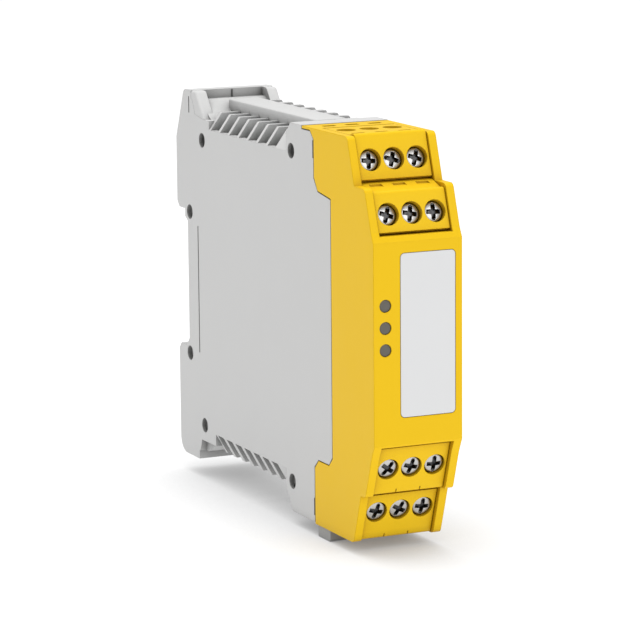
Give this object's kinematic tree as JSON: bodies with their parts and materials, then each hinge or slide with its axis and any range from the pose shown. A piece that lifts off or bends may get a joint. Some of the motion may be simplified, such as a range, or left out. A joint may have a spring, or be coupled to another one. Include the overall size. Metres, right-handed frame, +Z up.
{
  "type": "safety relay",
  "caption": "Slim DIN rail relay module: grey vented housing, yellow front cover with tilted plug-in screw terminal blocks at both ends, blank label and small lenses.",
  "frame": {"origin": "middle of the base of the bounding box", "axes": "+Z up along the module's height, -Y out of the front, X across the narrow width"},
  "size_m": [0.0226, 0.1146, 0.099],
  "materials": {
    "yellow_cover": "smooth moulded yellow",
    "yellow_terminal": "smooth moulded yellow",
    "grey_housing": "fine grained light grey",
    "grey_latch": "plain grey",
    "label_plate": "blank pale grey",
    "lens": "unlit dark lens",
    "nickel_screw": "nickel plated",
    "zinc_nut": "zinc plated",
    "brass_pins": "tinned brass",
    "spring_steel": "bright strip",
    "circuit_board": "green laminate",
    "relay_case": "sealed case",
    "transformer": "wrapped core",
    "capacitor": "sleeved can",
    "black_plastic": "black",
    "led_clear": "clear"
  },
  "bodies": {
    "module": {"left_housing_half": "grey_housing", "right_housing_half": "grey_housing", "front_cover": "yellow_cover", "label_plate": "label_plate", "upper_lens": "lens", "middle_lens": "lens", "lower_lens": "lens", "foot_block": "grey_latch", "latch_spring": "spring_steel", "main_circuit_board": "circuit_board", "front_circuit_board": "circuit_board", "first_relay": "relay_case", "second_relay": "relay_case", "transformer": "transformer", "logic_chip": "black_plastic", "optocoupler": "black_plastic", "capacitor": "capacitor", "board_connector": "black_plastic", "indicator_lights": "led_clear", "upper_rear_header": "black_plastic", "upper_rear_pins": "brass_pins", "upper_front_header": "black_plastic", "upper_front_pins": "brass_pins", "lower_front_header": "black_plastic", "lower_front_pins": "brass_pins", "lower_rear_header": "black_plastic", "lower_rear_pins": "brass_pins"},
    "rail_latch": {"rail_latch": "grey_latch"},
    "upper_rear_terminal_block": {"upper_rear_plug": "yellow_terminal", "upper_rear_contacts": "brass_pins"},
    "upper_rear_screw_1": {"upper_rear_screw_1": "nickel_screw"},
    "upper_rear_nut_1": {"upper_rear_nut_1": "zinc_nut"},
    "upper_rear_screw_2": {"upper_rear_screw_2": "nickel_screw"},
    "upper_rear_nut_2": {"upper_rear_nut_2": "zinc_nut"},
    "upper_rear_screw_3": {"upper_rear_screw_3": "nickel_screw"},
    "upper_rear_nut_3": {"upper_rear_nut_3": "zinc_nut"},
    "upper_front_terminal_block": {"upper_front_plug": "yellow_terminal", "upper_front_contacts": "brass_pins"},
    "upper_front_screw_1": {"upper_front_screw_1": "nickel_screw"},
    "upper_front_nut_1": {"upper_front_nut_1": "zinc_nut"},
    "upper_front_screw_2": {"upper_front_screw_2": "nickel_screw"},
    "upper_front_nut_2": {"upper_front_nut_2": "zinc_nut"},
    "upper_front_screw_3": {"upper_front_screw_3": "nickel_screw"},
    "upper_front_nut_3": {"upper_front_nut_3": "zinc_nut"},
    "lower_front_terminal_block": {"lower_front_plug": "yellow_terminal", "lower_front_contacts": "brass_pins"},
    "lower_front_screw_1": {"lower_front_screw_1": "nickel_screw"},
    "lower_front_nut_1": {"lower_front_nut_1": "zinc_nut"},
    "lower_front_screw_2": {"lower_front_screw_2": "nickel_screw"},
    "lower_front_nut_2": {"lower_front_nut_2": "zinc_nut"},
    "lower_front_screw_3": {"lower_front_screw_3": "nickel_screw"},
    "lower_front_nut_3": {"lower_front_nut_3": "zinc_nut"},
    "lower_rear_terminal_block": {"lower_rear_plug": "yellow_terminal", "lower_rear_contacts": "brass_pins"},
    "lower_rear_screw_1": {"lower_rear_screw_1": "nickel_screw"},
    "lower_rear_nut_1": {"lower_rear_nut_1": "zinc_nut"},
    "lower_rear_screw_2": {"lower_rear_screw_2": "nickel_screw"},
    "lower_rear_nut_2": {"lower_rear_nut_2": "zinc_nut"},
    "lower_rear_screw_3": {"lower_rear_screw_3": "nickel_screw"},
    "lower_rear_nut_3": {"lower_rear_nut_3": "zinc_nut"}
  },
  "joints": [
    {"name": "upper_rear_pull", "type": "slide", "parent": "module", "child": "upper_rear_terminal_block", "axis": [0, -1, 0], "range_m": [0, 0.012]},
    {"name": "upper_rear_screw_1_turn", "type": "hinge", "parent": "upper_rear_terminal_block", "child": "upper_rear_screw_1", "pos_m": [-0.00592, -0.04395, 0.09125], "axis": [0, 0.9483, -0.3173], "range_deg": [0, 540]},
    {"name": "upper_rear_nut_1_rise", "type": "slide", "parent": "upper_rear_terminal_block", "child": "upper_rear_nut_1", "axis": [0, -0.9483, 0.3173], "range_m": [0, 0.00075]},
    {"name": "upper_rear_screw_2_turn", "type": "hinge", "parent": "upper_rear_terminal_block", "child": "upper_rear_screw_2", "pos_m": [0, -0.04395, 0.09125], "axis": [0, 0.9483, -0.3173], "range_deg": [0, 540]},
    {"name": "upper_rear_nut_2_rise", "type": "slide", "parent": "upper_rear_terminal_block", "child": "upper_rear_nut_2", "axis": [0, -0.9483, 0.3173], "range_m": [0, 0.00075]},
    {"name": "upper_rear_screw_3_turn", "type": "hinge", "parent": "upper_rear_terminal_block", "child": "upper_rear_screw_3", "pos_m": [0.00592, -0.04395, 0.09125], "axis": [0, 0.9483, -0.3173], "range_deg": [0, 540]},
    {"name": "upper_rear_nut_3_rise", "type": "slide", "parent": "upper_rear_terminal_block", "child": "upper_rear_nut_3", "axis": [0, -0.9483, 0.3173], "range_m": [0, 0.00075]},
    {"name": "upper_front_pull", "type": "slide", "parent": "module", "child": "upper_front_terminal_block", "axis": [0, -1, 0], "range_m": [0, 0.012]},
    {"name": "upper_front_screw_1_turn", "type": "hinge", "parent": "upper_front_terminal_block", "child": "upper_front_screw_1", "pos_m": [-0.00592, -0.05305, 0.0799], "axis": [0, 0.9483, -0.3173], "range_deg": [0, 540]},
    {"name": "upper_front_nut_1_rise", "type": "slide", "parent": "upper_front_terminal_block", "child": "upper_front_nut_1", "axis": [0, -0.9483, 0.3173], "range_m": [0, 0.00075]},
    {"name": "upper_front_screw_2_turn", "type": "hinge", "parent": "upper_front_terminal_block", "child": "upper_front_screw_2", "pos_m": [0, -0.05305, 0.0799], "axis": [0, 0.9483, -0.3173], "range_deg": [0, 540]},
    {"name": "upper_front_nut_2_rise", "type": "slide", "parent": "upper_front_terminal_block", "child": "upper_front_nut_2", "axis": [0, -0.9483, 0.3173], "range_m": [0, 0.00075]},
    {"name": "upper_front_screw_3_turn", "type": "hinge", "parent": "upper_front_terminal_block", "child": "upper_front_screw_3", "pos_m": [0.00592, -0.05305, 0.0799], "axis": [0, 0.9483, -0.3173], "range_deg": [0, 540]},
    {"name": "upper_front_nut_3_rise", "type": "slide", "parent": "upper_front_terminal_block", "child": "upper_front_nut_3", "axis": [0, -0.9483, 0.3173], "range_m": [0, 0.00075]},
    {"name": "lower_front_pull", "type": "slide", "parent": "module", "child": "lower_front_terminal_block", "axis": [0, -1, 0], "range_m": [0, 0.012]},
    {"name": "lower_front_screw_1_turn", "type": "hinge", "parent": "lower_front_terminal_block", "child": "lower_front_screw_1", "pos_m": [-0.00592, -0.05285, 0.0214], "axis": [0, 0.9483, 0.3173], "range_deg": [0, 540]},
    {"name": "lower_front_nut_1_rise", "type": "slide", "parent": "lower_front_terminal_block", "child": "lower_front_nut_1", "axis": [0, -0.9483, -0.3173], "range_m": [0, 0.00075]},
    {"name": "lower_front_screw_2_turn", "type": "hinge", "parent": "lower_front_terminal_block", "child": "lower_front_screw_2", "pos_m": [0, -0.05285, 0.0214], "axis": [0, 0.9483, 0.3173], "range_deg": [0, 540]},
    {"name": "lower_front_nut_2_rise", "type": "slide", "parent": "lower_front_terminal_block", "child": "lower_front_nut_2", "axis": [0, -0.9483, -0.3173], "range_m": [0, 0.00075]},
    {"name": "lower_front_screw_3_turn", "type": "hinge", "parent": "lower_front_terminal_block", "child": "lower_front_screw_3", "pos_m": [0.00592, -0.05285, 0.0214], "axis": [0, 0.9483, 0.3173], "range_deg": [0, 540]},
    {"name": "lower_front_nut_3_rise", "type": "slide", "parent": "lower_front_terminal_block", "child": "lower_front_nut_3", "axis": [0, -0.9483, -0.3173], "range_m": [0, 0.00075]},
    {"name": "lower_rear_pull", "type": "slide", "parent": "module", "child": "lower_rear_terminal_block", "axis": [0, -1, 0], "range_m": [0, 0.012]},
    {"name": "lower_rear_screw_1_turn", "type": "hinge", "parent": "lower_rear_terminal_block", "child": "lower_rear_screw_1", "pos_m": [-0.00592, -0.04665, 0.01005], "axis": [0, 0.9483, 0.3173], "range_deg": [0, 540]},
    {"name": "lower_rear_nut_1_rise", "type": "slide", "parent": "lower_rear_terminal_block", "child": "lower_rear_nut_1", "axis": [0, -0.9483, -0.3173], "range_m": [0, 0.00075]},
    {"name": "lower_rear_screw_2_turn", "type": "hinge", "parent": "lower_rear_terminal_block", "child": "lower_rear_screw_2", "pos_m": [0, -0.04665, 0.01005], "axis": [0, 0.9483, 0.3173], "range_deg": [0, 540]},
    {"name": "lower_rear_nut_2_rise", "type": "slide", "parent": "lower_rear_terminal_block", "child": "lower_rear_nut_2", "axis": [0, -0.9483, -0.3173], "range_m": [0, 0.00075]},
    {"name": "lower_rear_screw_3_turn", "type": "hinge", "parent": "lower_rear_terminal_block", "child": "lower_rear_screw_3", "pos_m": [0.00592, -0.04665, 0.01005], "axis": [0, 0.9483, 0.3173], "range_deg": [0, 540]},
    {"name": "lower_rear_nut_3_rise", "type": "slide", "parent": "lower_rear_terminal_block", "child": "lower_rear_nut_3", "axis": [0, -0.9483, -0.3173], "range_m": [0, 0.00075]},
    {"name": "rail_latch_pull", "type": "slide", "parent": "module", "child": "rail_latch", "axis": [0, 0, -1], "range_m": [0, 0.003], "stiffness_N_per_m": 500, "deforming": ["latch_spring"]}
  ],
  "couplings": [
    {"joint": "upper_rear_screw_1_turn", "follows": "upper_rear_nut_1_rise", "rad_per_m": 12566},
    {"joint": "upper_rear_screw_2_turn", "follows": "upper_rear_nut_2_rise", "rad_per_m": 12566},
    {"joint": "upper_rear_screw_3_turn", "follows": "upper_rear_nut_3_rise", "rad_per_m": 12566},
    {"joint": "upper_front_screw_1_turn", "follows": "upper_front_nut_1_rise", "rad_per_m": 12566},
    {"joint": "upper_front_screw_2_turn", "follows": "upper_front_nut_2_rise", "rad_per_m": 12566},
    {"joint": "upper_front_screw_3_turn", "follows": "upper_front_nut_3_rise", "rad_per_m": 12566},
    {"joint": "lower_front_screw_1_turn", "follows": "lower_front_nut_1_rise", "rad_per_m": 12566},
    {"joint": "lower_front_screw_2_turn", "follows": "lower_front_nut_2_rise", "rad_per_m": 12566},
    {"joint": "lower_front_screw_3_turn", "follows": "lower_front_nut_3_rise", "rad_per_m": 12566},
    {"joint": "lower_rear_screw_1_turn", "follows": "lower_rear_nut_1_rise", "rad_per_m": 12566},
    {"joint": "lower_rear_screw_2_turn", "follows": "lower_rear_nut_2_rise", "rad_per_m": 12566},
    {"joint": "lower_rear_screw_3_turn", "follows": "lower_rear_nut_3_rise", "rad_per_m": 12566}
  ]
}
